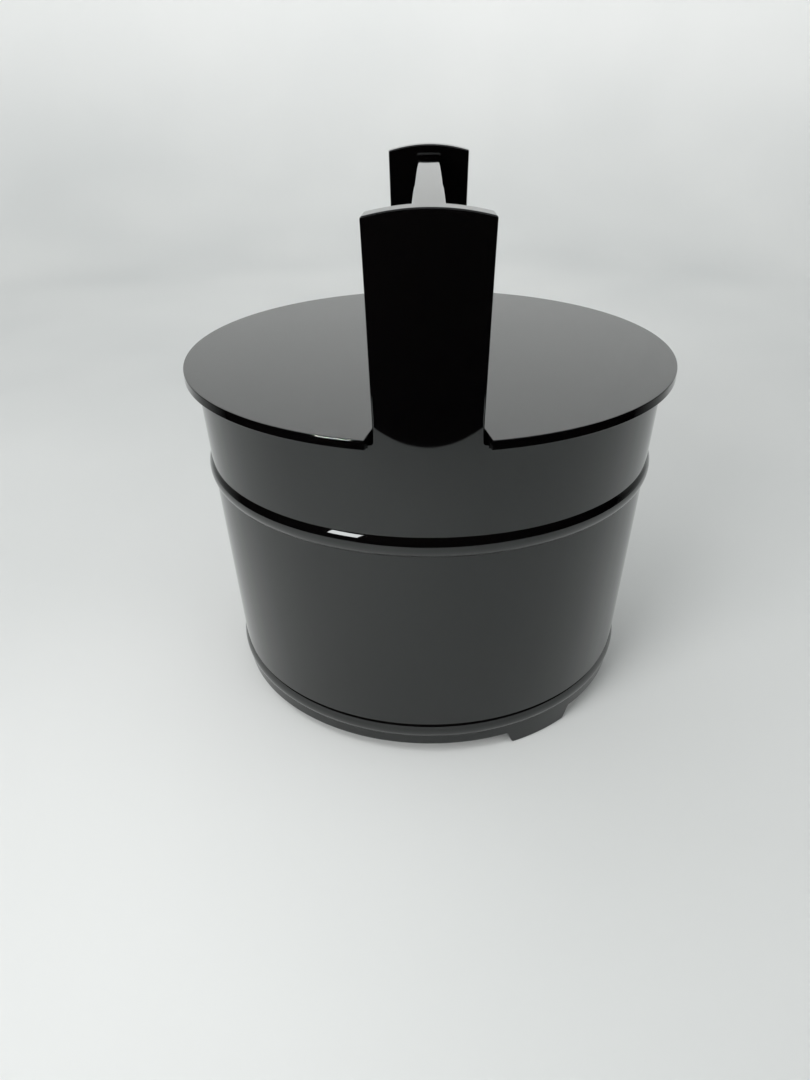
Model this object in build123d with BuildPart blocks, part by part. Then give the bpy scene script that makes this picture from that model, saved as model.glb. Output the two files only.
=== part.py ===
from build123d import *
import math
import os

# Handled wooden water bucket with a split lid, black lacquer over coopered staves.
# Millimetres, +Z up. The origin is on the floor, under the centre of the tub.
# The handle bar lies along X. The front is -Y.

# Driving dimensions of the tub
base_radius = 106.5
taper = 0.06
wall = 10.0
base_z = 7.2
rim_z = 172.5

# Handle posts: half-widths are those of the outer face, and the sides draw in towards the axis
handle_half_angle = 11.6
post_foot_half = 22.0
post_top_half = 24.0
post_side_lean = 4.0
post_top_z = 262.5
post_arch = 3.4

# Handle bar
bar_top_z = 257.5
bar_width = 13.6
bar_height = 18.0
bar_edge = 1.6
tenon_width = 9.0
tenon_height = 12.0
tenon_depth = 6.0

# Hoops: bottom, top and how far each one stands out of the wall
upper_hoop_low = 120.5
upper_hoop_high = 130.5
upper_hoop_rise = 1.8
lower_hoop_low = 13.0
lower_hoop_high = 21.0
lower_hoop_rise = 1.2

# Feet
side_foot_angle = 33.2
foot_flat_half = 16.0
foot_root_half = 20.6
foot_tip_round = 0.8
foot_root_round = 3.0

# Bottom
bottom_low = 14.0
bottom_thickness = 9.0
groove_depth = 3.0
plank_half_width = 34.0

# Lid
lid_radius = 122.5
lid_thickness = 4.5
lid_split_gap = 0.3
notch_half_angle = 11.75
notch_depth_clearance = 1.0
lid_top_round = 0.6
lid_bottom_chamfer = 0.3
batten_width = 14.0
batten_thickness = 6.0
batten_x = 48.0
batten_inner_y = 7.0
batten_outer_y = 80.0
batten_chamfer = 1.5

# Dowels and pins
stave_dowel_radius = 1.5
stave_dowel_length = 16.0
stave_dowel_levels = (50.0, 150.0)
bottom_dowel_radius = 2.5
bottom_dowel_length = 24.0
bottom_dowel_pitch = 58.0
pin_radius = 1.5
pin_length = 8.0
pin_inset = 10.0

# Worked-out values
bottom_high = bottom_low + bottom_thickness
batten_low = rim_z - batten_thickness
post_cut_z = post_top_z + 5.0
blank_radius = 180.0

# Stave widths in degrees, counter-clockwise from the right handle stave
rear_foot_seam = 48.0
rear_foot_stave = rear_foot_seam - handle_half_angle
front_foot_stave = 28.0
rear_stave = (180.0 - 2 * rear_foot_seam) / 4
front_stave = (180.0 - 2 * handle_half_angle - front_foot_stave) / 6


def outer(z):
    """Outer radius of the tub's cone at a height."""
    return base_radius + taper * z


def inner(z):
    """Inner radius of the tub's cone at a height."""
    return outer(z) - wall


def polar(radius, angle):
    """Point in the XY plane at a radius and an angle in degrees."""
    return (radius * math.cos(math.radians(angle)), radius * math.sin(math.radians(angle)))


def tangent_plane(angle):
    """Vertical plane through the axis, facing outwards at an angle: local X is the tangent."""
    return Plane(
        origin=(0, 0, 0),
        x_dir=(*polar(1, angle + 90), 0),
        z_dir=(*polar(1, angle), 0),
    )


def radial_plane(angle):
    """Vertical plane that holds the axis: local X is the radius, local Y is up."""
    return Plane(
        origin=(0, 0, 0),
        x_dir=(*polar(1, angle), 0),
        z_dir=(*polar(1, angle - 90), 0),
    )


croze_radius = inner((bottom_low + bottom_high) / 2) + groove_depth
bottom_board_z = (bottom_low + bottom_high) / 2
tenon_z = bar_top_z - bar_height / 2
tenon_end_x = inner(tenon_z) + tenon_depth
notch_radius = inner(rim_z) - notch_depth_clearance

# Every stave: its name, its width and, on a foot stave, the angle of its foot
stave_plan = [
    ("handle_stave_right", 2 * handle_half_angle, None),
    ("foot_stave_right", rear_foot_stave, side_foot_angle),
    ("stave_rear_1", rear_stave, None),
    ("stave_rear_2", rear_stave, None),
    ("stave_rear_3", rear_stave, None),
    ("stave_rear_4", rear_stave, None),
    ("foot_stave_left", rear_foot_stave, 180.0 - side_foot_angle),
    ("handle_stave_left", 2 * handle_half_angle, None),
    ("stave_left_1", front_stave, None),
    ("stave_left_2", front_stave, None),
    ("stave_left_3", front_stave, None),
    ("foot_stave_front", front_foot_stave, 270.0),
    ("stave_right_1", front_stave, None),
    ("stave_right_2", front_stave, None),
    ("stave_right_3", front_stave, None),
]


def finish_piece(part, name):
    """Label a piece and write its STEP file."""
    part.label = name
    export_step(part, f"parts/{name}.step")
    return part


def stave_dowel_places(seam_angle):
    """Locations of the dowels that cross one seam, each along the tangent."""
    places = []
    for level in stave_dowel_levels:
        x, y = polar(outer(level) - wall / 2, seam_angle)
        across = Plane(origin=(x, y, level), z_dir=(*polar(1, seam_angle + 90), 0))
        places.append(across.location)
    return places


def foot_cut(angle):
    """Sketch of what is cut away on both sides of a foot, up to the wall's bottom edge."""
    reach = blank_radius / 2
    with BuildSketch(tangent_plane(angle)) as cut:
        for side in (-1, 1):
            with BuildLine():
                FilletPolyline(
                    (side * foot_flat_half, -1),
                    (side * foot_flat_half, 0),
                    (side * foot_root_half, base_z),
                    (side * reach, base_z),
                    (side * reach, -1),
                    radius=(foot_tip_round, foot_root_round, foot_tip_round),
                )
                Line((side * reach, -1), (side * foot_flat_half, -1))
            make_face()
    return cut.sketch


def post_outline(angle, z):
    """Level sketch of a post's two sides at a height, from inside its wall to outside it."""
    grown = (z - rim_z) / (post_top_z - rim_z)
    half = post_foot_half + (post_top_half - post_foot_half) * grown
    draw_in = wall * math.tan(math.radians(post_side_lean))
    level = Plane(origin=(0, 0, z), x_dir=(*polar(1, angle), 0), z_dir=(0, 0, 1))
    with BuildSketch(level) as outline:
        with BuildLine():
            Polyline(
                (outer(z) - 2 * wall, half - 2 * draw_in),
                (outer(z) + wall, half + draw_in),
                (outer(z) + wall, -half - draw_in),
                (outer(z) - 2 * wall, -half + 2 * draw_in),
                close=True,
            )
        make_face()
    return outline.sketch


def post_top_cut(angle):
    """Sketch of what is cut away above the arched top of a handle post."""
    half = post_top_half
    shoulder = post_top_z - post_arch
    with BuildSketch(tangent_plane(angle)) as cut:
        with BuildLine():
            ThreePointArc((-half, shoulder), (0, post_top_z), (half, shoulder))
            Polyline(
                (half, shoulder),
                (2 * half, shoulder),
                (2 * half, 2 * post_top_z),
                (-2 * half, 2 * post_top_z),
                (-2 * half, shoulder),
                (-half, shoulder),
            )
        make_face()
    return cut.sketch


def mortise_cut(angle):
    """Sketch of the mortise that holds one tenon of the bar."""
    with BuildSketch(tangent_plane(angle)) as cut:
        with Locations((0, tenon_z)):
            Rectangle(tenon_width, tenon_height)
    return cut.sketch


def make_post(angle):
    """A handle post above the rim: a slice of the wall's cone between two leaning sides."""
    with BuildPart() as post:
        loft([post_outline(angle, rim_z), post_outline(angle, post_cut_z)], ruled=True)
        with BuildSketch(radial_plane(angle)):
            with BuildLine():
                Polyline(
                    (inner(rim_z), rim_z),
                    (outer(rim_z), rim_z),
                    (outer(post_cut_z), post_cut_z),
                    (inner(post_cut_z), post_cut_z),
                    close=True,
                )
            make_face()
        revolve(axis=Axis.Z, mode=Mode.INTERSECT)
    return post.part


def make_stave(start, width, low, post, cuts):
    """A stave: the wall section turned round the axis, with its croze, dowel holes and post.

    Each cut is a sketch on a tangent plane and how far outwards from the axis it goes.
    """
    with BuildPart() as stave:
        with BuildSketch(radial_plane(start)):
            with BuildLine():
                Polyline(
                    (inner(low), low),
                    (outer(low), low),
                    (outer(rim_z), rim_z),
                    (inner(rim_z), rim_z),
                    (inner(bottom_high), bottom_high),
                    (croze_radius, bottom_high),
                    (croze_radius, bottom_low),
                    (inner(bottom_low), bottom_low),
                    close=True,
                )
            make_face()
        revolve(axis=Axis.Z, revolution_arc=width)
        with Locations(*stave_dowel_places(start), *stave_dowel_places(start + width)):
            Cylinder(stave_dowel_radius, stave_dowel_length, mode=Mode.SUBTRACT)
        if post is not None:
            add(post)
        for outline, depth in cuts:
            extrude(outline, amount=depth, mode=Mode.SUBTRACT)
    return stave


# Tub wall: staves in order round the axis, so that each starts where the last one ends
os.makedirs("parts", exist_ok=True)
seams = []
start_angle = -handle_half_angle
for stave_name, stave_width, foot_at in stave_plan:
    low_z = base_z
    handle_post = None
    stave_cuts = []
    if foot_at is not None:
        low_z = 0.0
        stave_cuts.append((foot_cut(foot_at), blank_radius))
    if stave_name.startswith("handle"):
        middle_angle = start_angle + stave_width / 2
        handle_post = make_post(middle_angle)
        stave_cuts.append((post_top_cut(middle_angle), blank_radius))
        stave_cuts.append((mortise_cut(middle_angle), tenon_end_x))
    stave = make_stave(start_angle, stave_width, low_z, handle_post, stave_cuts)
    finish_piece(stave.part, stave_name)
    seams.append(start_angle)
    start_angle += stave_width

# Bamboo dowels across the stave seams
dowel_places = []
for seam in seams:
    dowel_places.extend(stave_dowel_places(seam))
with BuildPart() as stave_dowels:
    with Locations(*dowel_places):
        Cylinder(stave_dowel_radius, stave_dowel_length)
finish_piece(stave_dowels.part, "stave_dowels")


def make_hoop(low, high, rise):
    """A hoop: a band with a flat back on the wall and an arched outer face."""
    middle = (low + high) / 2
    with BuildPart() as hoop:
        with BuildSketch(Plane.XZ):
            with BuildLine():
                ThreePointArc((outer(low), low), (outer(middle) + rise, middle), (outer(high), high))
                Line((outer(high), high), (outer(low), low))
            make_face()
        revolve(axis=Axis.Z)
    return hoop


upper_hoop = make_hoop(upper_hoop_low, upper_hoop_high, upper_hoop_rise)
finish_piece(upper_hoop.part, "upper_hoop")
lower_hoop = make_hoop(lower_hoop_low, lower_hoop_high, lower_hoop_rise)
finish_piece(lower_hoop.part, "lower_hoop")


# Bottom: three boards in the croze, doweled edge to edge
def bottom_dowel_places(sides):
    """Locations of the dowels across the seams of the bottom boards, each along Y."""
    places = []
    for side in sides:
        for step in (-1, 0, 1):
            across = Plane(
                origin=(step * bottom_dowel_pitch, side * plank_half_width, bottom_board_z),
                z_dir=(0, 1, 0),
            )
            places.append(across.location)
    return places


def make_board(low_y, high_y, dowel_sides):
    """A bottom board: a strip of the round bottom between two seams."""
    with BuildPart() as board:
        with BuildSketch(Plane.XY.offset(bottom_low)):
            Circle(croze_radius)
            with Locations((0, (low_y + high_y) / 2)):
                Rectangle(4 * croze_radius, high_y - low_y, mode=Mode.INTERSECT)
        extrude(amount=bottom_thickness)
        with Locations(*bottom_dowel_places(dowel_sides)):
            Cylinder(bottom_dowel_radius, bottom_dowel_length, mode=Mode.SUBTRACT)
    return board


past_edge = croze_radius + 1.0
bottom_board_front = make_board(-past_edge, -plank_half_width, (-1,))
finish_piece(bottom_board_front.part, "bottom_board_front")
bottom_board_middle = make_board(-plank_half_width, plank_half_width, (-1, 1))
finish_piece(bottom_board_middle.part, "bottom_board_middle")
bottom_board_rear = make_board(plank_half_width, past_edge, (1,))
finish_piece(bottom_board_rear.part, "bottom_board_rear")

with BuildPart() as bottom_dowels:
    with Locations(*bottom_dowel_places((-1, 1))):
        Cylinder(bottom_dowel_radius, bottom_dowel_length)
finish_piece(bottom_dowels.part, "bottom_dowels")

# Handle bar: rounded edges, shoulders that fit the posts' hollow inner faces, blind tenons
with BuildPart() as handle_bar:
    with BuildSketch(Plane.YZ.offset(-inner(bar_top_z))):
        with Locations((0, tenon_z)):
            RectangleRounded(bar_width, bar_height, bar_edge)
    extrude(amount=2 * inner(bar_top_z))
    with BuildSketch(Plane.XZ):
        with BuildLine():
            Polyline(
                (0, rim_z),
                (inner(rim_z), rim_z),
                (inner(post_cut_z), post_cut_z),
                (0, post_cut_z),
                close=True,
            )
        make_face()
    revolve(axis=Axis.Z, mode=Mode.INTERSECT)
    with Locations((0, 0, tenon_z)):
        Box(2 * tenon_end_x, tenon_width, tenon_height)
finish_piece(handle_bar.part, "handle_bar")


# Lid: two halves, split along the bar, each notched round both posts
def pin_points():
    """Where the pins stand along one batten, from its inner end to its outer end."""
    first = batten_inner_y + pin_inset
    last = batten_outer_y - pin_inset
    return (first, (first + last) / 2, last)


def pin_places(side):
    """Locations of all the pins of one lid half."""
    middle_z = batten_low + pin_length / 2
    places = []
    for end in (-1, 1):
        for along in pin_points():
            places.append(Location((end * batten_x, side * along, middle_z)))
    return places


def make_lid_half(side):
    """Half of the round lid board; side is -1 for the front half and 1 for the rear half."""
    corner = polar(blank_radius, notch_half_angle)
    with BuildPart() as half:
        with BuildSketch(Plane.XY.offset(rim_z)):
            Circle(lid_radius)
            for end in (-1, 1):
                notch = [(0, 0), (end * corner[0], -corner[1]), (end * corner[0], corner[1])]
                with BuildLine():
                    Polyline(*notch, close=True)
                make_face(mode=Mode.SUBTRACT)
            Circle(notch_radius)
            with Locations((0, side * (lid_split_gap / 2 + blank_radius / 2))):
                Rectangle(2 * blank_radius, blank_radius, mode=Mode.INTERSECT)
        extrude(amount=lid_thickness)
        rims = half.edges().filter_by(GeomType.CIRCLE).filter_by(
            lambda edge: abs(edge.radius - lid_radius) < 0.01
        )
        fillet(rims.group_by(Axis.Z)[-1], lid_top_round)
        chamfer(rims.group_by(Axis.Z)[0], lid_bottom_chamfer)
        with Locations(*pin_places(side)):
            Cylinder(pin_radius, pin_length, mode=Mode.SUBTRACT)
    return half


def make_batten(side, end):
    """One batten under a lid half, with a chamfered outer end."""
    middle_y = side * (batten_inner_y + batten_outer_y) / 2
    with BuildPart() as batten:
        with Locations((end * batten_x, middle_y, batten_low)):
            Box(
                batten_width,
                batten_outer_y - batten_inner_y,
                batten_thickness,
                align=(Align.CENTER, Align.CENTER, Align.MIN),
            )
        chamfer(batten.edges().group_by(Axis.Z)[0], batten_chamfer)
        with Locations(*pin_places(side)):
            Cylinder(pin_radius, pin_length, mode=Mode.SUBTRACT)
    return batten


for half_name, half_side in (("lid_front", -1), ("lid_rear", 1)):
    lid_half = make_lid_half(half_side)
    finish_piece(lid_half.part, half_name)
    for end_name, end_side in (("left", -1), ("right", 1)):
        lid_batten = make_batten(half_side, end_side)
        finish_piece(lid_batten.part, f"{half_name}_batten_{end_name}")
    with BuildPart() as lid_pins:
        with Locations(*pin_places(half_side)):
            Cylinder(pin_radius, pin_length)
    finish_piece(lid_pins.part, f"{half_name}_pins")
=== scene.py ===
import math
from collections import namedtuple
from functools import cache

import bmesh
import bpy
from mathutils import Matrix, Vector


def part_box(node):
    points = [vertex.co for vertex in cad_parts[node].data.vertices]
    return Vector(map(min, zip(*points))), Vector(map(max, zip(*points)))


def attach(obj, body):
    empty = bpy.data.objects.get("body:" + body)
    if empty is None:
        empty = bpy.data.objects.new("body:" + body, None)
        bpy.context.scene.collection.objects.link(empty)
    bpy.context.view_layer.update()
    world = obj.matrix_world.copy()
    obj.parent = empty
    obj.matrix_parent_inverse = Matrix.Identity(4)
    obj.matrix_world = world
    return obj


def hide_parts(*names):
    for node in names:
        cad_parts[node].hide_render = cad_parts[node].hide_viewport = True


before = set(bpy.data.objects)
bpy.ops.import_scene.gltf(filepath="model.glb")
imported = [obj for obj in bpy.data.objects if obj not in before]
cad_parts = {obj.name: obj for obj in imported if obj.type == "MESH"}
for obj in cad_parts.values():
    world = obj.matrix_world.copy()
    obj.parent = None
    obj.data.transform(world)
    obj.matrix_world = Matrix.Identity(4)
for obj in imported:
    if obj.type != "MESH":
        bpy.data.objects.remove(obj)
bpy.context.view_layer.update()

MM = 0.001

# The camera: metres, degrees and, for its lens and sensor, millimetres
CAMERA_AT = Vector((0.4227, -0.0001, 0.3062))
CAMERA_YAW = 1.78
CAMERA_PITCH = 29.81
CAMERA_ROLL = -0.75
CAMERA_LENS = 28.1
CAMERA_SENSOR = 36.0

# Rounding of the lacquered edges
RIM_ROUND = 1.2 * MM
BASE_ROUND = 0.9 * MM
SEAM_ROUND = 0.05 * MM
LID_ROUND = 0.5 * MM
BAR_ROUND = 1.7 * MM
POST_ROUND = 1.0 * MM
POST_TOP_ROUND = 0.9 * MM

# The hollow cove where a post leaves the rim, the rounding of the post's edges right above it, and
# the length over which that grows to POST_ROUND
COVE = 1.5 * MM
COVE_TOP_ROUND = 0.24 * MM
POST_EASE = 10.0 * MM

# The bead of lacquer where the bar meets a post: how far it flares, and how deep it reaches in
JOINT_FLARE = 0.6 * MM
JOINT_DEPTH = 0.3 * MM

# How finely the pieces are meshed; the faces and corners are those of the handle posts
ROUND_STEPS = 6
FACE_STEPS = 10
CORNER_STEPS = 4
BAR_CORNER_STEPS = 8
HOOP_STEPS = 22
HOOP_COLUMNS = 240
LID_RIM_STEPS = 160
LID_NOTCH_STEPS = 8
LID_ROUND_STEPS = 5
FOOT_SLOPE_STEPS = 24

# How close a CAD vertex has to be to a height, to a face and to a corner to count as on it
AT_HEIGHT = 0.2 * MM
ON_FACE = 0.05 * MM
AT_CORNER = 0.01 * MM

# Feet, as in the CAD model
FOOT_FLAT_HALF = 16.0 * MM
FOOT_ROOT_HALF = 20.6 * MM
SIDE_FOOT_ANGLE = 33.2


# ---------------------------------------------------------------- measures read from the frame

def node_points(node):
    """Every vertex of a CAD node, in the frame's metres."""
    return [v.co.copy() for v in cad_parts[node].data.vertices]


def radius_at(node, height, pick):
    """Largest or smallest radius of a CAD node at one height."""
    near = [p for p in node_points(node) if abs(p.z - height) < AT_HEIGHT]
    return pick(math.hypot(p.x, p.y) for p in near)


def span_of(node):
    """Start and end angle of a stave, in radians, counter-clockwise."""
    low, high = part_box(node)
    middle = math.atan2((low.y + high.y) / 2, (low.x + high.x) / 2)
    offsets = []
    for p in node_points(node):
        turn = math.atan2(p.y, p.x) - middle
        offsets.append((turn + math.pi) % math.tau - math.pi)
    return middle + min(offsets), middle + max(offsets)


PLAIN = "stave_rear_1"
base_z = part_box(PLAIN)[0].z
rim_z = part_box(PLAIN)[1].z
base_radius = radius_at(PLAIN, base_z, max)
rim_radius = radius_at(PLAIN, rim_z, max)
taper = (rim_radius - base_radius) / (rim_z - base_z)
wall = rim_radius - radius_at(PLAIN, rim_z, min)
bottom_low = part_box("bottom_board_middle")[0].z
bottom_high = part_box("bottom_board_middle")[1].z
croze_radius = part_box("bottom_board_middle")[1].x
post_top_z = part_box("handle_stave_right")[1].z


def outer(z):
    """Outer radius of the tub's cone at a height."""
    return base_radius + taper * (z - base_z)


def inner(z):
    """Inner radius of the tub's cone at a height."""
    return outer(z) - wall


# ---------------------------------------------------------------- materials

# How deep the lacquer's slow swell and its dust nibs are, and the bamboo's fibres
SWELL_DEPTH = 0.012 * MM
NIB_DEPTH = 0.01 * MM
FIBRE_DEPTH = 0.2 * MM

# The lacquer's refractive index, and the slight tint of what it mirrors
URUSHI_IOR = 1.61
URUSHI_TINT = (0.965, 1.0, 0.995, 1.0)

# The tones of each material as (darker, lighter) pairs; the paper's are for near the bucket, then
# painted shadow behind it and far in front of it, and painted light up the wall
URUSHI = ((0.0010, 0.0009, 0.0010), (0.0020, 0.0017, 0.0017))
BAMBOO = ((0.30, 0.19, 0.08), (0.62, 0.46, 0.24))
PAPER_NEAR = ((0.71, 0.725, 0.715), (0.76, 0.77, 0.76))
PAPER_SHADOW_BEHIND = ((0.62, 0.635, 0.63), (0.70, 0.71, 0.70))
PAPER_SHADOW_FRONT = ((0.46, 0.47, 0.465), (0.52, 0.53, 0.52))
PAPER_LIGHT_HIGH = ((0.96, 0.965, 0.955), (0.98, 0.98, 0.97))


def new_material(name):
    """An empty node material: its tree, its shader and its output."""
    material = bpy.data.materials.new(name)
    material.use_nodes = True
    tree = material.node_tree
    tree.nodes.clear()
    output = tree.nodes.new("ShaderNodeOutputMaterial")
    shader = tree.nodes.new("ShaderNodeBsdfPrincipled")
    tree.links.new(shader.outputs["BSDF"], output.inputs["Surface"])
    return material, tree, shader


def add_noise(tree, coordinates, scale, detail=3.0, stretch=(1, 1, 1)):
    """A noise texture in object metres, stretched along the axes."""
    mapping = tree.nodes.new("ShaderNodeMapping")
    mapping.inputs["Scale"].default_value = stretch
    tree.links.new(coordinates, mapping.inputs["Vector"])
    noise = tree.nodes.new("ShaderNodeTexNoise")
    noise.inputs["Scale"].default_value = scale
    noise.inputs["Detail"].default_value = detail
    tree.links.new(mapping.outputs["Vector"], noise.inputs["Vector"])
    return noise.outputs["Fac"]


def add_ramp(tree, value, stops):
    """A colour ramp over a value; stops are (position, colour)."""
    ramp = tree.nodes.new("ShaderNodeValToRGB")
    elements = ramp.color_ramp.elements
    while len(elements) < len(stops):
        elements.new(0.5)
    for element, (position, colour) in zip(elements, stops):
        element.position = position
        element.color = (*colour, 1.0)
    tree.links.new(value, ramp.inputs["Fac"])
    return ramp.outputs["Color"]


def add_tones(tree, value, tones):
    """A colour that goes from the darker to the lighter of two tones with a noise's value."""
    return add_ramp(tree, value, [(0.3, tones[0]), (0.7, tones[1])])


def add_fade(tree, value, start, end, smooth=False):
    """0 where the value is at start, 1 where it is at end."""
    spread = tree.nodes.new("ShaderNodeMapRange")
    if smooth:
        spread.interpolation_type = "SMOOTHSTEP"
    spread.inputs["From Min"].default_value = start
    spread.inputs["From Max"].default_value = end
    tree.links.new(value, spread.inputs["Value"])
    return spread.outputs["Result"]


def grey(level):
    """A grey of one level, as a colour."""
    return (level, level, level)


def make_lacquer():
    """Deep black urushi: glossy, very slightly uneven, with faint wipe marks and dust nibs."""
    material, tree, shader = new_material("black_urushi")
    coordinates = tree.nodes.new("ShaderNodeTexCoord").outputs["Object"]
    depth = add_noise(tree, coordinates, 9.0, 2.0)
    tree.links.new(add_tones(tree, depth, URUSHI), shader.inputs["Base Color"])

    wipe = add_noise(tree, coordinates, 14.0, 6.0, (1.0, 1.0, 0.35))
    roughness = add_ramp(tree, wipe, [(0.35, grey(0.02)), (0.62, grey(0.03)), (0.8, grey(0.06))])
    tree.links.new(roughness, shader.inputs["Roughness"])

    swell = add_noise(tree, coordinates, 26.0, 1.0)
    slow = tree.nodes.new("ShaderNodeBump")
    slow.inputs["Strength"].default_value = 1.0
    slow.inputs["Distance"].default_value = SWELL_DEPTH
    tree.links.new(swell, slow.inputs["Height"])
    nibs = tree.nodes.new("ShaderNodeTexVoronoi")
    nibs.inputs["Scale"].default_value = 160.0
    tree.links.new(coordinates, nibs.inputs["Vector"])
    peak = add_ramp(tree, nibs.outputs["Distance"], [(0.0, grey(1.0)), (0.035, grey(0.0))])
    fine = tree.nodes.new("ShaderNodeBump")
    fine.inputs["Strength"].default_value = 0.35
    fine.inputs["Distance"].default_value = NIB_DEPTH
    tree.links.new(peak, fine.inputs["Height"])
    tree.links.new(slow.outputs["Normal"], fine.inputs["Normal"])
    tree.links.new(fine.outputs["Normal"], shader.inputs["Normal"])

    shader.inputs["IOR"].default_value = URUSHI_IOR
    shader.inputs["Specular Tint"].default_value = URUSHI_TINT
    return material


def make_bamboo():
    """Split bamboo: pale straw colour with fine fibres."""
    material, tree, shader = new_material("split_bamboo")
    coordinates = tree.nodes.new("ShaderNodeTexCoord").outputs["Object"]
    fibre = add_noise(tree, coordinates, 900.0, 4.0, (1.0, 1.0, 0.08))
    tree.links.new(add_tones(tree, fibre, BAMBOO), shader.inputs["Base Color"])
    bump = tree.nodes.new("ShaderNodeBump")
    bump.inputs["Strength"].default_value = 0.4
    bump.inputs["Distance"].default_value = FIBRE_DEPTH
    tree.links.new(fibre, bump.inputs["Height"])
    tree.links.new(bump.outputs["Normal"], shader.inputs["Normal"])
    shader.inputs["Roughness"].default_value = 0.55
    return material


lacquer = make_lacquer()
bamboo = make_bamboo()


# ---------------------------------------------------------------- mesh helpers

# Cosine of the angle between two corner normals above which they count as one
SAME_NORMAL = 0.9999


def mark_sharp(mesh, normals):
    """Mark the edges whose two faces are given different normals."""
    seen = {}
    sharp = set()
    for face in mesh.polygons:
        loops = list(face.loop_indices)
        for here, after in zip(loops, loops[1:] + loops[:1]):
            ends = {mesh.loops[corner].vertex_index: normals[corner] for corner in (here, after)}
            edge = mesh.loops[here].edge_index
            other = seen.setdefault(edge, ends)
            if any(other[v].dot(ends[v]) < SAME_NORMAL for v in ends):
                sharp.add(edge)
    flags = mesh.attributes.new("sharp_edge", "BOOLEAN", "EDGE")
    flags.data.foreach_set("value", [edge in sharp for edge in range(len(mesh.edges))])


def finish_piece(name, verts, faces, normals, node, body):
    """Make a mesh piece with its own corner normals, ride it and let it stand for its CAD node."""
    mesh = bpy.data.meshes.new(name)
    mesh.from_pydata(verts, [], faces)
    mesh.polygons.foreach_set("use_smooth", [True] * len(mesh.polygons))
    mesh.update()
    mark_sharp(mesh, normals)
    mesh.normals_split_custom_set(normals)
    piece = bpy.data.objects.new(name, mesh)
    bpy.context.scene.collection.objects.link(piece)
    piece.data.materials.append(lacquer)
    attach(piece, body)
    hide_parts(node)


def arc_steps(count):
    """Evenly spaced shares from 0 to 1."""
    return [i / count for i in range(count + 1)]


def rounded_profile(corners):
    """A closed outline with rounded corners.

    corners are (r, z, radius), counter-clockwise. The result is a list of segments
    ((point, normal), (point, normal)), each normal pointing out of the outline.
    """
    ends = []
    count = len(corners)
    for i, (r, z, radius) in enumerate(corners):
        here = Vector((r, z))
        before = Vector(corners[i - 1][:2]) - here
        after = Vector(corners[(i + 1) % count][:2]) - here
        before.normalize()
        after.normalize()
        normal_in = Vector((-before.y, before.x))
        normal_out = Vector((after.y, -after.x))
        if radius <= 0:
            ends.append([(here, normal_in), (here, normal_out)])
            continue
        half = before.angle(after) / 2
        centre = here + (before + after).normalized() * (radius / math.sin(half))
        arc = []
        sweep = normal_in.angle(normal_out)
        for share in arc_steps(ROUND_STEPS):
            a = math.sin((1 - share) * sweep) / math.sin(sweep)
            b = math.sin(share * sweep) / math.sin(sweep)
            normal = normal_in * a + normal_out * b
            arc.append((centre + normal * radius, normal))
        ends.append(arc)
    segments = []
    for i in range(count):
        arc = ends[i]
        if corners[i][2] > 0:
            segments.extend(zip(arc[:-1], arc[1:]))
        segments.append((arc[-1], ends[(i + 1) % count][0]))
    return segments


def tube_faces(bands, count):
    """Quads between the rings of a tube: bands of them, each ring with count points."""
    faces = []
    for k in range(bands):
        for i in range(count):
            j = (i + 1) % count
            faces.append((k * count + i, k * count + j, (k + 1) * count + j, (k + 1) * count + i))
    return faces


def turned(point, angle):
    """A profile point (r, z) turned to an angle about the tub's axis."""
    return Vector((point[0] * math.cos(angle), point[0] * math.sin(angle), point[1]))


# How far, in radians, a section is moved round the axis to find how its surface runs
NUDGE = 1e-4


def swept_wall(name, node, body, angles, profile_at, closed=False):
    """A piece whose section, profile_at(angle), is swept about the axis over the angles."""
    sections = [profile_at(a) for a in angles]
    count = len(sections[0])
    verts = [turned(segment[0][0], a) for a, section in zip(angles, sections) for segment in section]
    faces = []
    normals = []

    @cache
    def corner_normal(column, index, end):
        angle = angles[column]
        flat = sections[column][index][end][1]
        ahead = turned(profile_at(angle + NUDGE)[index][end][0], angle + NUDGE)
        back = turned(profile_at(angle - NUDGE)[index][end][0], angle - NUDGE)
        along = Vector((-flat.y, flat.x))
        section_tangent = Vector((along.x * math.cos(angle), along.x * math.sin(angle), along.y))
        normal = (ahead - back).cross(section_tangent).normalized()
        outwards = Vector((flat.x * math.cos(angle), flat.x * math.sin(angle), flat.y))
        return normal if normal.dot(outwards) > 0 else -normal

    columns = len(angles)
    for c in range(columns if closed else columns - 1):
        d = (c + 1) % columns
        for i in range(count):
            j = (i + 1) % count
            faces.append((c * count + i, d * count + i, d * count + j, c * count + j))
            normals += [
                corner_normal(c, i, 0), corner_normal(d, i, 0),
                corner_normal(d, i, 1), corner_normal(c, i, 1),
            ]
    if not closed:
        for c, flip in ((0, False), (columns - 1, True)):
            ring = [c * count + i for i in range(count)]
            side = Vector((math.sin(angles[c]), -math.cos(angles[c]), 0))
            if flip:
                ring.reverse()
                side = -side
            faces.append(tuple(ring))
            normals += [side] * count
    finish_piece(name, verts, faces, normals, node, body)


# ---------------------------------------------------------------- tub wall

def foot_height(angle, foot_angle):
    """Height of the wall's bottom edge at an angle, on a stave with a foot."""
    offset = abs(outer(0) * math.sin(angle - foot_angle))
    share = (offset - FOOT_FLAT_HALF) / (FOOT_ROOT_HALF - FOOT_FLAT_HALF)
    share = max(0.0, min(1.0, share))
    return base_z * share * share * (3 - 2 * share)


def stave_profile(low):
    """Section of a stave with its rounded rim and base and its croze."""
    corners = [
        (outer(low), low, BASE_ROUND),
        (outer(rim_z), rim_z, RIM_ROUND),
        (inner(rim_z), rim_z, RIM_ROUND),
        (inner(bottom_high), bottom_high, 0),
        (croze_radius, bottom_high, 0),
        (croze_radius, bottom_low, 0),
        (inner(bottom_low), bottom_low, 0),
        (inner(low), low, BASE_ROUND),
    ]
    return rounded_profile(corners)


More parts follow.
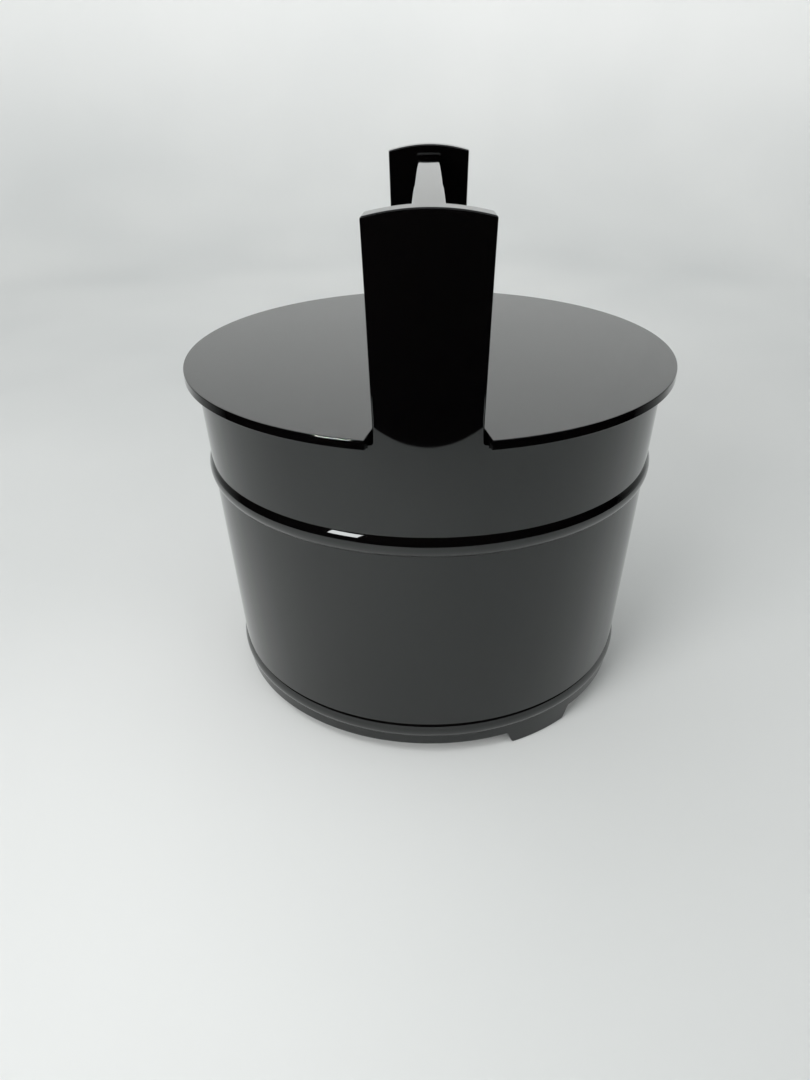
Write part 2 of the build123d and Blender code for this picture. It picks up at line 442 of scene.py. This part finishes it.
def stave_angles(start, end, foot_angle):
    """Angles of a stave's columns: even, and closer together on the slopes of its foot."""
    count = max(2, round(math.degrees(end - start)))
    angles = {start + (end - start) * share for share in arc_steps(count)}
    if foot_angle is not None:
        for side in (-1, 1):
            for share in arc_steps(FOOT_SLOPE_STEPS):
                offset = FOOT_FLAT_HALF + (FOOT_ROOT_HALF - FOOT_FLAT_HALF) * share
                angles.add(foot_angle + side * math.asin(offset / outer(0)))
    return sorted(angles)


def make_plain_stave(node, foot_angle=None):
    """A stave of the tub wall, with a foot below it where foot_angle is given."""
    start, end = span_of(node)
    if foot_angle is not None:
        middle = (start + end) / 2
        foot_angle = middle + (foot_angle - middle + math.pi) % math.tau - math.pi

    def profile_at(angle):
        return stave_profile(base_z if foot_angle is None else foot_height(angle, foot_angle))

    swept_wall(node + "_lacquered", node, "bucket", stave_angles(start, end, foot_angle), profile_at)


FEET = {
    "foot_stave_right": math.radians(SIDE_FOOT_ANGLE),
    "foot_stave_left": math.radians(180 - SIDE_FOOT_ANGLE),
    "foot_stave_front": math.radians(270),
}
for stave_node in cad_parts:
    if stave_node.startswith("stave_") and stave_node != "stave_dowels":
        make_plain_stave(stave_node)
for stave_node, at in FEET.items():
    make_plain_stave(stave_node, at)


# ---------------------------------------------------------------- handle posts

def post_measures(node):
    """A post's direction, its stave's half-angle, and each face's half-width and how that grows."""
    start, end = span_of(node)
    middle = (start + end) / 2
    across = Vector((-math.sin(middle), math.cos(middle), 0))
    points = node_points(node)
    halves = {}
    for face, radius in (("outer", outer), ("inner", inner)):
        on_face = [p for p in points if abs(math.hypot(p.x, p.y) - radius(p.z)) < ON_FACE]
        foot = min(abs(p.dot(across)) for p in on_face if abs(p.z - rim_z) < AT_CORNER)
        corner = max((p for p in on_face if p.z > rim_z + COVE), key=lambda p: abs(p.dot(across)))
        rise = (abs(corner.dot(across)) - foot) / (corner.z - rim_z)
        halves[face] = (foot, rise)
        if face == "outer":
            halves["shoulder_z"] = corner.z
    return middle, (end - start) / 2, halves


def half_width_at(z, radius, half_angle, foot, rise):
    """Half-width of a handle stave's face at a height: stave, then the cove above it, then post."""
    stave_half = radius * math.sin(half_angle)
    if z <= rim_z:
        return stave_half
    post_half = foot + rise * (z - rim_z)
    share = (z - rim_z) / COVE
    if share >= 1:
        return post_half
    return post_half + (stave_half - post_half) * (1 - math.sqrt(1 - (1 - share) ** 2))


# One level of a handle stave: its height, how far its faces and its sides are drawn in, its edge
# radius, how much of the top's arch it follows, and how far its normals tilt up
Level = namedtuple("Level", "z inset side_inset corner lift tilt", defaults=(0.0, 0.0))


def half_section(level, half_angle, halves):
    """Half of a handle stave's section at a level.

    Its points are (radial, tangent, normal angle), from the middle of the outer face to the middle
    of the inner one.
    """
    z, inset, side_inset, corner = level[:4]
    high_r = outer(z) - inset
    low_r = inner(z) + inset
    high_t = half_width_at(z, outer(z), half_angle, *halves["outer"])
    low_t = half_width_at(z, inner(z), half_angle, *halves["inner"])
    high_x = math.sqrt(outer(z) ** 2 - high_t ** 2)
    low_x = math.sqrt(inner(z) ** 2 - low_t ** 2)
    side = math.atan2(high_x - low_x, low_t - high_t)
    reach = high_x * math.cos(side) + high_t * math.sin(side) - side_inset

    def corner_turn(ring):
        return side - math.acos((reach - corner) / ring)

    high_turn = corner_turn(high_r - corner)
    low_turn = corner_turn(low_r + corner)
    points = []
    for share in arc_steps(FACE_STEPS):
        a = high_turn * share
        points.append((high_r * math.cos(a), high_r * math.sin(a), a))
    for share in arc_steps(CORNER_STEPS)[1:]:
        a = high_turn + (side - high_turn) * share
        ring = high_r - corner
        points.append((ring * math.cos(high_turn) + corner * math.cos(a),
                       ring * math.sin(high_turn) + corner * math.sin(a), a))
    for share in arc_steps(CORNER_STEPS):
        a = side + (low_turn + math.pi - side) * share
        ring = low_r + corner
        points.append((ring * math.cos(low_turn) + corner * math.cos(a),
                       ring * math.sin(low_turn) + corner * math.sin(a), a))
    for share in arc_steps(FACE_STEPS)[1:]:
        a = low_turn * (1 - share)
        points.append((low_r * math.cos(a), low_r * math.sin(a), a + math.pi))
    return points


def handle_path():
    """The levels up a handle stave."""
    path = []
    for share in arc_steps(ROUND_STEPS):
        tilt = (share - 1) * math.pi / 2
        inset = BASE_ROUND * (1 - math.cos(tilt))
        height = base_z + BASE_ROUND * (1 + math.sin(tilt))
        path.append(Level(height, inset, 0.0, SEAM_ROUND, 0.0, tilt))
    low = base_z + BASE_ROUND
    for share in arc_steps(ROUND_STEPS)[1:]:
        path.append(Level(low + (rim_z - low) * share, 0.0, 0.0, SEAM_ROUND))
    for share in arc_steps(ROUND_STEPS)[1:]:
        corner = SEAM_ROUND + (COVE_TOP_ROUND - SEAM_ROUND) * share
        path.append(Level(rim_z + COVE * share, 0.0, 0.0, corner))
    low = path[-1].z
    eased = low + POST_EASE
    for share in arc_steps(ROUND_STEPS)[1:]:
        corner = COVE_TOP_ROUND + (POST_ROUND - COVE_TOP_ROUND) * share
        path.append(Level(low + (eased - low) * share, 0.0, 0.0, corner))
    top_edge = post_top_z - POST_TOP_ROUND
    for share in arc_steps(2 * ROUND_STEPS)[1:]:
        path.append(Level(eased + (top_edge - eased) * share, 0.0, 0.0, POST_ROUND, share ** 4))
    for share in arc_steps(ROUND_STEPS)[1:]:
        tilt = share * math.pi / 2
        inset = POST_TOP_ROUND * (1 - math.cos(tilt))
        height = top_edge + POST_TOP_ROUND * math.sin(tilt)
        path.append(Level(height, inset, inset, POST_ROUND - inset, 1.0, tilt))
    return path


def handle_cap(count):
    """Faces that close a ring of count points, mirrored about its first point: quads across it."""
    back = count // 2
    rings = []
    for i in range(back // 2):
        rings.append([i, i + 1, back - i - 1, back - i])
    for i in range(back // 2):
        rings.append([(count - n) % count for n in (back - i, back - i - 1, i + 1, i)])
    return [tuple(dict.fromkeys(ring)) for ring in rings]


# How much pointing up counts in choosing a normal's side, for where the cove starts almost level
COVE_UP_SHARE = 0.2


def make_handle_stave(node):
    """A handle stave: part of the wall below the rim, and a post with rounded edges above it."""
    middle, half_angle, halves = post_measures(node)
    direction = Vector((math.cos(middle), math.sin(middle), 0))
    across = Vector((-math.sin(middle), math.cos(middle), 0))
    arch_rise = post_top_z - halves["shoulder_z"]
    arch_half = halves["outer"][0] + halves["outer"][1] * (halves["shoulder_z"] - rim_z)
    path = handle_path()
    straight = [k for k, level in enumerate(path) if level.tilt == 0]
    rows = []
    for level in path:
        half = half_section(level, half_angle, halves)
        row = []
        for r, t, a in half + [(r, -t, -a) for r, t, a in reversed(half[1:-1])]:
            height = level.z - level.lift * arch_rise * min(1.0, abs(t) / arch_half) ** 2
            flat = direction * math.cos(a) + across * math.sin(a)
            row.append((direction * r + across * t + Vector((0, 0, height)), flat))
        rows.append(row)
    count = len(rows[0])
    top = len(rows) - 1

    def arch_normal(point):
        slope = 2 * arch_rise * point.dot(across) / arch_half ** 2
        return (Vector((0, 0, 1)) + across * slope).normalized()

    def surface_normal(k, i):
        point, flat = rows[k][i]
        if k == top:
            return arch_normal(point)
        here = min(max(k, straight[0]), straight[-1])
        climb = Vector((0, 0, 0))
        if here < straight[-1] and path[here].z != rim_z:
            climb += (rows[here + 1][i][0] - rows[here][i][0]).normalized()
        if here > straight[0]:
            climb += (rows[here][i][0] - rows[here - 1][i][0]).normalized()
        normal = Vector((-flat.y, flat.x, 0)).cross(climb).normalized()
        if normal.dot(flat) + COVE_UP_SHARE * normal.z < 0:
            normal = -normal
        tilt = path[k].tilt
        return (normal * math.cos(tilt) + Vector((0, 0, 1)) * math.sin(tilt)).normalized()

    smooth = [surface_normal(k, i) for k in range(len(rows)) for i in range(count)]
    verts = [point for row in rows for point, _ in row]
    faces = tube_faces(top, count)
    normals = [smooth[v] for face in faces for v in face]
    faces.append(tuple(reversed(range(count))))
    normals += [Vector((0, 0, -1))] * count
    for ring in handle_cap(count):
        face = tuple(top * count + n for n in ring)
        faces.append(face)
        normals += [arch_normal(verts[v]) for v in face]
    finish_piece(node + "_lacquered", verts, faces, normals, node, "bucket")


for stave_node in ("handle_stave_right", "handle_stave_left"):
    make_handle_stave(stave_node)


# ---------------------------------------------------------------- hoops

def make_hoop(node):
    """A hoop: an arched band round the wall."""
    low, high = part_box(node)
    middle = (low.z + high.z) / 2
    half = (high.z - low.z) / 2
    rise = high.x - outer(middle)
    radius = (half * half + rise * rise) / (2 * rise)
    sweep = math.asin(half / radius)
    lean = math.atan(taper)
    arc = []
    for share in arc_steps(HOOP_STEPS):
        turn = -sweep + 2 * sweep * share
        up = radius * math.sin(turn)
        out = radius * math.cos(turn) - (radius - rise)
        point = Vector((outer(middle) + out + taper * up, middle + up))
        arc.append((point, Vector((math.cos(turn - lean), math.sin(turn - lean)))))
    back = Vector((-math.cos(lean), math.sin(lean)))
    section = list(zip(arc[:-1], arc[1:]))
    section.append(((arc[-1][0], back), (arc[0][0], back)))
    angles = [math.tau * i / HOOP_COLUMNS for i in range(HOOP_COLUMNS)]
    swept_wall(node + "_lacquered", node, "bucket", angles, lambda angle: section, closed=True)


for hoop_node in ("upper_hoop", "lower_hoop"):
    make_hoop(hoop_node)


# ---------------------------------------------------------------- handle bar

def make_bar():
    """The crossbar: rounded edges, and a small bead of lacquer where it meets each post."""
    node = "handle_bar"
    low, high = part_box(node)
    half_width = (high.y - low.y) / 2
    half_height = (high.z - low.z) / 2
    middle_z = (low.z + high.z) / 2
    outline = []
    for index, (sy, sz) in enumerate(((1, 1), (-1, 1), (-1, -1), (1, -1))):
        for share in arc_steps(BAR_CORNER_STEPS):
            turn = math.pi / 2 * (index + share)
            normal = Vector((0, math.cos(turn), math.sin(turn)))
            centre_y = sy * (half_width - BAR_ROUND)
            centre_z = middle_z + sz * (half_height - BAR_ROUND)
            outline.append((Vector((0, centre_y, centre_z)) + normal * BAR_ROUND, normal))
    # Distance from the post's face, how far the section swells there, and the turn of its hollow bead
    stations = [(-JOINT_DEPTH, JOINT_FLARE, 0.0)]
    for share in arc_steps(ROUND_STEPS):
        turn = share * math.pi / 2
        stations.append((JOINT_FLARE * (1 - math.cos(turn)), JOINT_FLARE * (1 - math.sin(turn)), turn))
    count = len(outline)
    verts = []
    smooth = []
    for end in (-1, 1):
        for gap, swell, turn in (stations if end < 0 else reversed(stations)):
            for point, normal in outline:
                shifted = point + normal * swell
                face_x = math.sqrt(inner(shifted.z) ** 2 - shifted.y ** 2)
                verts.append((end * (face_x - gap), shifted.y, shifted.z))
                smooth.append(normal * math.sin(turn) + Vector((-end, 0, 0)) * math.cos(turn))
    faces = [tuple(reversed(range(count)))]
    faces += tube_faces(2 * len(stations) - 1, count)
    faces.append(tuple(range(len(verts) - count, len(verts))))
    normals = [smooth[v] for face in faces for v in face]
    finish_piece("handle_bar_lacquered", verts, faces, normals, node, "bucket")


make_bar()


# ---------------------------------------------------------------- lid halves

def lid_run(radius, start, end, steps):
    """Points along an arc seen from above, each with the outward normal there."""
    run = []
    for share in arc_steps(steps):
        a = start + (end - start) * share
        normal = Vector((math.cos(a), math.sin(a), 0))
        run.append((normal * radius, normal))
    return run


def lid_plan(side, lid_radius, notch_radius, notch_angle, split):
    """Outline of one lid half, counter-clockwise: (point, normal before it, normal after it)."""
    inner_angle = math.asin(split / notch_radius)
    near, far = notch_angle, math.pi - notch_angle
    rim = lid_run(lid_radius, near, far, LID_RIM_STEPS)
    left_notch = lid_run(notch_radius, far, math.pi - inner_angle, LID_NOTCH_STEPS)
    right_notch = lid_run(notch_radius, inner_angle, near, LID_NOTCH_STEPS)
    into_left = Vector((-math.sin(far), math.cos(far), 0))
    into_right = Vector((math.sin(near), -math.cos(near), 0))
    to_split = Vector((0, -1, 0))
    runs = [
        rim,
        [(rim[-1][0], into_left), (left_notch[0][0], into_left)],
        left_notch,
        [(left_notch[-1][0], to_split), (right_notch[0][0], to_split)],
        right_notch,
        [(right_notch[-1][0], into_right), (rim[0][0], into_right)],
    ]
    plan = []
    for run, after in zip(runs, runs[1:] + runs[:1]):
        plan += [(point, normal, normal) for point, normal in run[1:-1]]
        plan.append((run[-1][0], run[-1][1], after[0][1]))
    if side < 0:
        flip = Vector((1, -1, 1))
        plan = [(p * flip, later * flip, earlier * flip) for p, earlier, later in reversed(plan)]
    return plan


def lid_edge(low, high):
    """Section of the lid's edge from below to above: (distance inwards, height, tilt of the normal)."""
    edge = []
    for start, level in ((-math.pi / 2, low + LID_ROUND), (0.0, high - LID_ROUND)):
        for share in arc_steps(LID_ROUND_STEPS):
            tilt = start + math.pi / 2 * share
            edge.append((LID_ROUND * (1 - math.cos(tilt)), level + LID_ROUND * math.sin(tilt), tilt))
    return edge


def make_lid_half(node, body, side):
    """Half of the lid: a flat board with softly rounded edges, notched round both posts."""
    low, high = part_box(node)
    points = node_points(node)
    lid_radius = max(abs(low.y), abs(high.y))
    split = min(abs(low.y), abs(high.y))
    notch_radius = max(abs(p.x) for p in points if abs(abs(p.y) - split) < AT_CORNER)
    tip = max((p for p in points if math.hypot(p.x, p.y) > lid_radius - ON_FACE), key=lambda p: p.x)
    notch_angle = abs(math.atan2(tip.y, tip.x))
    plan = lid_plan(side, lid_radius, notch_radius, notch_angle, split)
    edge = lid_edge(low.z, high.z)
    verts = []
    for inset, height, tilt in edge:
        for point, before, after in plan:
            corner = (before + after) / (1 + before.dot(after))
            verts.append(point - corner * inset + Vector((0, 0, height)))
    count = len(plan)
    top = len(edge) - 1
    up = Vector((0, 0, 1))
    faces = tube_faces(top, count)
    normals = []
    for k in range(top):
        below, above = edge[k][2], edge[k + 1][2]
        for i in range(count):
            here, after = plan[i][2], plan[(i + 1) % count][1]
            for normal, tilt in ((here, below), (after, below), (after, above), (here, above)):
                normals.append(normal * math.cos(tilt) + up * math.sin(tilt))
    faces.append(tuple(reversed(range(count))))
    normals += [-up] * count
    faces.append(tuple(top * count + i for i in range(count)))
    normals += [up] * count
    finish_piece(node + "_lacquered", verts, faces, normals, node, body)


make_lid_half("lid_front", "lid_front_half", -1)
make_lid_half("lid_rear", "lid_rear_half", 1)


# ---------------------------------------------------------------- CAD nodes that stay

for cad_name, cad_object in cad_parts.items():
    is_bamboo = cad_name.endswith("_dowels") or cad_name.endswith("_pins")
    cad_object.data.materials.clear()
    cad_object.data.materials.append(bamboo if is_bamboo else lacquer)


# ---------------------------------------------------------------- stage

# Floor disc and the round wall it curves up into
FLOOR_RADIUS = 1.1
FLOOR_RINGS = (0.3, 0.7)
WALL_CURVE = 0.5
WALL_TOP = 2.0
WALL_STEPS = 24
WALL_COLUMNS = 128

# Where the paper passes into its painted shadow behind the bucket and far in front of it, and its
# painted light up the wall
SHADOW_BEHIND_FADE = (-0.12, -0.5)
SHADOW_FRONT_FADE = (0.30, 0.55)
LIGHT_HIGH_FADE = (0.0, 0.6)


def make_paper():
    """Matt pale paper, with painted shadow that makes it a little dimmer behind and far in front, and
    painted light that makes it brighter up the wall.
    """
    material, tree, shader = new_material("pale_paper")
    coordinates = tree.nodes.new("ShaderNodeTexCoord").outputs["Object"]
    split = tree.nodes.new("ShaderNodeSeparateXYZ")
    tree.links.new(coordinates, split.inputs["Vector"])

    def fade(axis, ends):
        return add_fade(tree, split.outputs[axis], *ends, smooth=True)

    def mix(factor, first, second):
        blend = tree.nodes.new("ShaderNodeMix")
        blend.data_type = "RGBA"
        tree.links.new(factor, blend.inputs["Factor"])
        tree.links.new(first, blend.inputs["A"])
        tree.links.new(second, blend.inputs["B"])
        return blend.outputs["Result"]

    tone = add_noise(tree, coordinates, 2.5, 2.0)
    # The tones behind the bucket and far in front of it are painted shadow; the tone up the wall is
    # painted light
    near, behind, front, high = (
        add_tones(tree, tone, tones) for tones in (PAPER_NEAR, PAPER_SHADOW_BEHIND, PAPER_SHADOW_FRONT, PAPER_LIGHT_HIGH))
    floor = mix(fade("X", SHADOW_BEHIND_FADE), near, behind)
    floor = mix(fade("X", SHADOW_FRONT_FADE), floor, front)
    tree.links.new(mix(fade("Z", LIGHT_HIGH_FADE), floor, high), shader.inputs["Base Color"])
    shader.inputs["Roughness"].default_value = 0.9
    shader.inputs["Specular IOR Level"].default_value = 0.1
    return material


def make_surround():
    """Floor disc that curves up into a round pale wall."""
    outline = [(r, 0.0) for r in (0.0, *FLOOR_RINGS, FLOOR_RADIUS)]
    for share in arc_steps(WALL_STEPS)[1:]:
        turn = share * math.pi / 2
        outline.append((FLOOR_RADIUS + WALL_CURVE * math.sin(turn), WALL_CURVE * (1 - math.cos(turn))))
    outline.append((FLOOR_RADIUS + WALL_CURVE, WALL_TOP))
    work = bmesh.new()
    centre = work.verts.new((0, 0, 0))
    rings = []
    for r, z in outline[1:]:
        ring = []
        for i in range(WALL_COLUMNS):
            a = math.tau * i / WALL_COLUMNS
            ring.append(work.verts.new((r * math.cos(a), r * math.sin(a), z)))
        rings.append(ring)
    for i in range(WALL_COLUMNS):
        j = (i + 1) % WALL_COLUMNS
        work.faces.new((centre, rings[0][i], rings[0][j]))
        for low_ring, high_ring in zip(rings[:-1], rings[1:]):
            work.faces.new((low_ring[i], high_ring[i], high_ring[j], low_ring[j]))
    mesh = bpy.data.meshes.new("surround")
    work.to_mesh(mesh)
    work.free()
    mesh.polygons.foreach_set("use_smooth", [True] * len(mesh.polygons))
    surround = bpy.data.objects.new("surround", mesh)
    bpy.context.scene.collection.objects.link(surround)
    surround.data.materials.append(make_paper())


# The black flag's place in front, at the sides and at the back, its height and where it fades out
FLAG_X = 0.41
FLAG_HALF = 0.44
FLAG_BACK = -0.35
FLAG_BOTTOM = 0.5 * MM
FLAG_TOP = 0.60
FLAG_FADE_FROM = 0.46

# One side of its plan, from the front to the back
FLAG_SIDE = [
    (FLAG_X, 0.27), (0.36, 0.335), (0.295, 0.375),
    (0.20, 0.415), (0.0, FLAG_HALF), (FLAG_BACK, FLAG_HALF),
]


def make_black_flag():
    """Black cloth in front and at the sides, seen only in reflections, that fades out at its edges."""
    material = bpy.data.materials.new("black_flag")
    material.use_nodes = True
    tree = material.node_tree
    tree.nodes.clear()
    output = tree.nodes.new("ShaderNodeOutputMaterial")
    dark = tree.nodes.new("ShaderNodeEmission")
    dark.inputs["Color"].default_value = (0.0, 0.0, 0.0, 1.0)
    clear = tree.nodes.new("ShaderNodeBsdfTransparent")
    mix = tree.nodes.new("ShaderNodeMixShader")
    place = tree.nodes.new("ShaderNodeTexCoord")
    split = tree.nodes.new("ShaderNodeSeparateXYZ")
    tree.links.new(place.outputs["Object"], split.inputs["Vector"])

    most = tree.nodes.new("ShaderNodeMath")
    most.operation = "MAXIMUM"
    tree.links.new(add_fade(tree, split.outputs["Z"], FLAG_FADE_FROM, FLAG_TOP), most.inputs[0])
    tree.links.new(add_fade(tree, split.outputs["X"], 0.0, FLAG_BACK), most.inputs[1])
    tree.links.new(most.outputs["Value"], mix.inputs["Fac"])
    tree.links.new(dark.outputs["Emission"], mix.inputs[1])
    tree.links.new(clear.outputs["BSDF"], mix.inputs[2])
    tree.links.new(mix.outputs["Shader"], output.inputs["Surface"])
    plan = [(x, -y) for x, y in reversed(FLAG_SIDE)] + FLAG_SIDE
    work = bmesh.new()
    lower = [work.verts.new((x, y, FLAG_BOTTOM)) for x, y in plan]
    upper = [work.verts.new((x, y, FLAG_TOP)) for x, y in plan]
    for i in range(len(plan) - 1):
        work.faces.new((lower[i], lower[i + 1], upper[i + 1], upper[i]))
    mesh = bpy.data.meshes.new("black_flag")
    work.to_mesh(mesh)
    work.free()
    flag = bpy.data.objects.new("black_flag", mesh)
    bpy.context.scene.collection.objects.link(flag)
    flag.data.materials.append(material)
    flag.visible_camera = False
    flag.visible_diffuse = False
    flag.visible_shadow = False
    flag.visible_transmission = False
    flag.visible_volume_scatter = False


# Where the lights aim, and where the small window stands whose glints the hoop and the lid show
BUCKET = (0.0, 0.0, 0.1)
FLOOR_POOL = (0.14, -0.07, 0.0)
WALL_BEHIND = (-1.6, 0.0, 0.8)
HOOP_GLINT = (0.105, -0.036, 0.128)
LID_GLINT = (0.105, -0.036, 0.177)
WINDOW = (0.345, -0.24, 0.245)
SOFT_BOX = (0.8, 0.8)
POOL_SPREAD = 28


def add_area_light(name, at, aim, size, watts, glossy=True, diffuse=True):
    """A rectangular area light that faces a point."""
    data = bpy.data.lights.new(name, "AREA")
    data.shape = "RECTANGLE"
    data.size, data.size_y = size
    data.energy = watts
    light = bpy.data.objects.new(name, data)
    light.location = at
    light.rotation_mode = "QUATERNION"
    light.rotation_quaternion = (Vector(aim) - Vector(at)).to_track_quat("-Z", "Y")
    light.visible_camera = False
    light.visible_glossy = glossy
    light.visible_diffuse = diffuse
    bpy.context.scene.collection.objects.link(light)
    return light


def light_only(light, names):
    """Let a light fall on the named pieces only."""
    receivers = bpy.data.collections.new(light.name + "_receivers")
    for name in names:
        receivers.objects.link(bpy.data.objects[name])
    light.light_linking.receiver_collection = receivers


def make_lights():
    """Soft lights in front, a pool on the floor, one for the wall, and a small window's glints."""
    add_area_light("soft_left", (1.15, -0.90, 0.72), BUCKET, SOFT_BOX, watts=16.5, glossy=False)
    add_area_light("soft_right", (1.15, 0.90, 0.72), BUCKET, SOFT_BOX, watts=2.0, glossy=False)
    pool = add_area_light("pool", (0.50, -0.32, 0.85), FLOOR_POOL, (0.3, 0.3), watts=0.09, glossy=False)
    pool.data.spread = math.radians(POOL_SPREAD)
    add_area_light("wall_light", (-0.75, 0.0, 1.45), WALL_BEHIND, (0.5, 1.6), watts=5.0, glossy=False)
    on_hoop = add_area_light("hoop_window", WINDOW, HOOP_GLINT, (0.10, 0.12), watts=0.45, diffuse=False)
    light_only(on_hoop, ["upper_hoop_lacquered"])
    on_lid = add_area_light("lid_window", WINDOW, LID_GLINT, (0.10, 0.012), watts=1.6, diffuse=False)
    light_only(on_lid, ["lid_front_lacquered", "lid_rear_lacquered"])


def make_world():
    """A plain pale sky over the surround."""
    world = bpy.data.worlds.new("studio")
    world.use_nodes = True
    background = world.node_tree.nodes["Background"]
    background.inputs["Color"].default_value = (0.95, 0.975, 1.0, 1.0)
    background.inputs["Strength"].default_value = 0.5
    bpy.context.scene.world = world


def make_camera():
    """The camera, at the place and angle given above."""
    yaw, pitch, roll = (math.radians(a) for a in (CAMERA_YAW, CAMERA_PITCH, CAMERA_ROLL))
    level = Vector((-math.cos(yaw), -math.sin(yaw), 0))
    forward = level * math.cos(pitch) - Vector((0, 0, math.sin(pitch)))
    right = forward.cross(Vector((0, 0, 1))).normalized()
    up = right.cross(forward)
    turned_right = right * math.cos(roll) + up * math.sin(roll)
    turned_up = up * math.cos(roll) - right * math.sin(roll)
    data = bpy.data.cameras.new("camera")
    data.lens = CAMERA_LENS
    data.sensor_width = CAMERA_SENSOR
    data.clip_start = 0.01
    camera = bpy.data.objects.new("camera", data)
    camera.matrix_world = Matrix.Translation(CAMERA_AT) @ Matrix(
        (turned_right, turned_up, -forward)).transposed().to_4x4()
    bpy.context.scene.collection.objects.link(camera)
    bpy.context.scene.camera = camera


bpy.context.scene.view_settings.view_transform = "Standard"
make_surround()
make_black_flag()
make_world()
make_lights()
make_camera()
